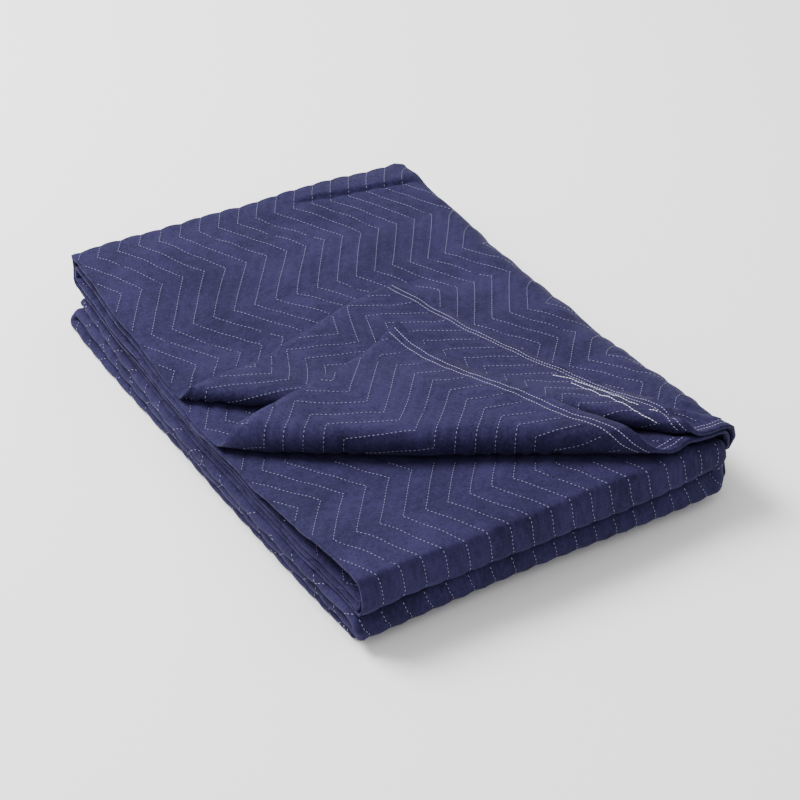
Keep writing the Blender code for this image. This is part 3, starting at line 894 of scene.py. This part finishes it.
def weave_group():
    """Shader group: the colour and height of plain woven polyester cloth, by its place on the flat cloth."""
    group, given, result = new_group(
        "woven_cloth",
        [("Cloth Place", "NodeSocketVector"), ("Dark", "NodeSocketColor"), ("Light", "NodeSocketColor")],
        [("Colour", "NodeSocketColor"), ("Height", "NodeSocketFloat")],
    )
    wire = Wiring(group)
    place = given.outputs["Cloth Place"]

    def threads(direction):
        node = group.nodes.new("ShaderNodeTexWave")
        node.bands_direction = direction
        node.inputs["Scale"].default_value = 420.0
        node.inputs["Distortion"].default_value = 1.5
        node.inputs["Detail"].default_value = 1.0
        group.links.new(place, node.inputs["Vector"])
        return node.outputs["Fac"]

    broad = wire.noise(place, 14.0, 3.0, 0.55)
    blotch = wire.noise(place, 95.0, 2.0, 0.6)
    fleck = wire.noise(place, 330.0, 2.0, 0.75)
    woven = wire.maths("MULTIPLY", threads("X"), threads("Y"))
    shade = wire.maths("ADD", wire.maths("MULTIPLY", broad, 0.7), wire.maths("MULTIPLY", blotch, 0.45))
    shade = wire.maths("ADD", shade, wire.maths("MULTIPLY", fleck, 0.95))
    shade = wire.maths("ADD", shade, wire.maths("MULTIPLY", woven, 0.15))
    share = group.nodes.new("ShaderNodeMapRange")
    share.inputs["From Min"].default_value = 0.88
    share.inputs["From Max"].default_value = 1.32
    wire.feed(share.inputs["Value"], shade)
    mix = group.nodes.new("ShaderNodeMix")
    mix.data_type = "RGBA"
    wire.feed(mix.inputs["Factor"], share.outputs["Result"])
    wire.feed(mix.inputs[6], given.outputs["Dark"])
    wire.feed(mix.inputs[7], given.outputs["Light"])
    wire.feed(result.inputs["Colour"], mix.outputs[2])
    height = wire.maths("MULTIPLY", woven, 0.00010)
    height = wire.maths("ADD", height, wire.maths("MULTIPLY", fleck, 0.00035))
    height = wire.maths("ADD", height, wire.maths("MULTIPLY", blotch, 0.0009))
    wire.feed(result.inputs["Height"], height)
    return group


def cloth_material():
    """Matt navy cloth, woven, uneven in tone, puckered along its quilting and with painted shade along its
    rows.
    """
    material = bpy.data.materials.new("navy_quilted_cloth")
    material.use_nodes = True
    nodes = material.node_tree.nodes
    wire = Wiring(material.node_tree)
    shader = nodes["Principled BSDF"]
    shader.inputs["Roughness"].default_value = 0.86
    shader.inputs["Specular IOR Level"].default_value = 0.15
    shader.inputs["Sheen Weight"].default_value = 0.06
    shader.inputs["Sheen Roughness"].default_value = 0.5
    shader.inputs["Sheen Tint"].default_value = CLOTH_SHEEN
    uv = nodes.new("ShaderNodeUVMap")
    uv.uv_map = "cloth_metres"
    weave = nodes.new("ShaderNodeGroup")
    weave.node_tree = weave_group()
    weave.inputs["Dark"].default_value = CLOTH_DARK
    weave.inputs["Light"].default_value = CLOTH_LIGHT
    quilting = nodes.new("ShaderNodeAttribute")
    quilting.attribute_name = "quilting"
    parts = nodes.new("ShaderNodeSeparateXYZ")
    puckers = nodes.new("ShaderNodeGroup")
    puckers.node_tree = pucker_group()
    # painted shade: darkens the woven colour along each quilting row
    shaded = nodes.new("ShaderNodeMix")
    shaded.data_type = "RGBA"
    shaded.blend_type = "MULTIPLY"
    shaded.inputs[7].default_value = PAINTED_SEAM_SHADE
    bump = nodes.new("ShaderNodeBump")
    bump.inputs["Strength"].default_value = 0.9
    bump.inputs["Distance"].default_value = 1.0
    wire.feed(weave.inputs["Cloth Place"], uv.outputs["UV"])
    wire.feed(parts.inputs["Vector"], quilting.outputs["Vector"])
    wire.feed(puckers.inputs["Row"], parts.outputs["X"])
    wire.feed(puckers.inputs["Length"], parts.outputs["Y"])
    wire.feed(shaded.inputs["Factor"], puckers.outputs["Seam"])
    wire.feed(shaded.inputs[6], weave.outputs["Colour"])
    wire.feed(shader.inputs["Base Color"], shaded.outputs[2])
    wire.feed(bump.inputs["Height"], wire.maths("ADD", weave.outputs["Height"], puckers.outputs["Height"]))
    wire.feed(shader.inputs["Normal"], bump.outputs["Normal"])
    return material


def thread_material(name, colour):
    """Pale twisted polyester thread."""
    material = bpy.data.materials.new(name)
    material.use_nodes = True
    nodes, links = material.node_tree.nodes, material.node_tree.links
    shader = nodes["Principled BSDF"]
    shader.inputs["Roughness"].default_value = 0.55
    place = nodes.new("ShaderNodeTexCoord")
    twist = nodes.new("ShaderNodeTexNoise")
    twist.inputs["Scale"].default_value = 900.0
    tone = nodes.new("ShaderNodeValToRGB")
    tone.color_ramp.elements[0].position = 0.3
    tone.color_ramp.elements[0].color = (*[part * 0.72 for part in colour], 1.0)
    tone.color_ramp.elements[1].position = 0.7
    tone.color_ramp.elements[1].color = (*colour, 1.0)
    links.new(place.outputs["Object"], twist.inputs["Vector"])
    links.new(twist.outputs["Fac"], tone.inputs["Fac"])
    links.new(tone.outputs["Color"], shader.inputs["Base Color"])
    return material


def make_floor():
    """A plain pale floor just under the object."""
    floor_mesh = bmesh.new()
    bmesh.ops.create_grid(floor_mesh, x_segments=1, y_segments=1, size=FLOOR_HALF)
    mesh = bpy.data.meshes.new("floor")
    floor_mesh.to_mesh(mesh)
    floor_mesh.free()
    floor = bpy.data.objects.new("floor", mesh)
    floor.location = (0.0, 0.0, -FLOOR_DROP)
    bpy.context.scene.collection.objects.link(floor)
    material = bpy.data.materials.new("pale_floor")
    material.use_nodes = True
    shader = material.node_tree.nodes["Principled BSDF"]
    shader.inputs["Base Color"].default_value = FLOOR_COLOUR
    shader.inputs["Roughness"].default_value = 0.9
    mesh.materials.append(material)


def area_light(name, place, target, size, power):
    light = bpy.data.lights.new(name, "AREA")
    light.size = size
    light.energy = power
    lamp = bpy.data.objects.new(name, light)
    lamp.location = place
    aim = Vector(target) - Vector(place)
    lamp.rotation_euler = aim.to_track_quat("-Z", "Y").to_euler()
    bpy.context.scene.collection.objects.link(lamp)


def make_light():
    """Soft studio light: a pale room, and one large lamp high over the back."""
    world = bpy.data.worlds.new("studio")
    world.use_nodes = True
    world.node_tree.nodes["Background"].inputs["Color"].default_value = (1.0, 1.0, 1.0, 1.0)
    world.node_tree.nodes["Background"].inputs["Strength"].default_value = 1.0
    bpy.context.scene.world = world
    area_light("key", KEY_AT, (0.0, 0.0, 0.0), KEY_SIZE, KEY_POWER)


def make_camera():
    """The photograph's viewpoint."""
    data = bpy.data.cameras.new("camera")
    data.sensor_width = SENSOR
    data.lens = CAMERA_FOCAL_PIXELS / PHOTO_FRAME * SENSOR
    camera = bpy.data.objects.new("camera", data)
    camera.location = CAMERA_AT
    look = Vector(
        (
            math.sin(CAMERA_AZIMUTH) * math.cos(CAMERA_PITCH),
            math.cos(CAMERA_AZIMUTH) * math.cos(CAMERA_PITCH),
            -math.sin(CAMERA_PITCH),
        )
    )
    turn = look.to_track_quat("-Z", "Y").to_matrix() @ Matrix.Rotation(CAMERA_ROLL, 3, "Z")
    camera.rotation_euler = turn.to_euler()
    bpy.context.scene.collection.objects.link(camera)
    bpy.context.scene.camera = camera


make_camera()
cloth = make_cloth()
cloth.data.materials.append(cloth_material())
cloth_tree = BVHTree.FromObject(cloth, bpy.context.evaluated_depsgraph_get())
thread = thread_material("quilting_thread", THREAD)
hem_thread = thread_material("hem_thread", HEM_THREAD)
bright_thread = thread_material("bright_thread", BRIGHT_THREAD)
row_stitches = make_stitches(
    "quilting_stitches", quilting_stitches(cloth_tree), stitch_tree(thread), thread,
    STITCH_LONG, STITCH_WIDE, STITCH_HIGH,
)
plain_hem, bright_hem = hem_stitches(cloth_tree)
hem_rows = make_stitches(
    "hem_stitches", plain_hem, stitch_tree(hem_thread), hem_thread,
    HEM_LONG, HEM_WIDE, STITCH_HIGH,
)
bright_rows = make_stitches(
    "bright_hem_stitches", bright_hem, stitch_tree(bright_thread), bright_thread,
    BRIGHT_LONG, BRIGHT_WIDE, BRIGHT_HIGH,
)
make_floor()
make_light()

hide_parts("blanket")
for piece in (cloth, row_stitches, hem_rows, bright_rows):
    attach(piece, "root")
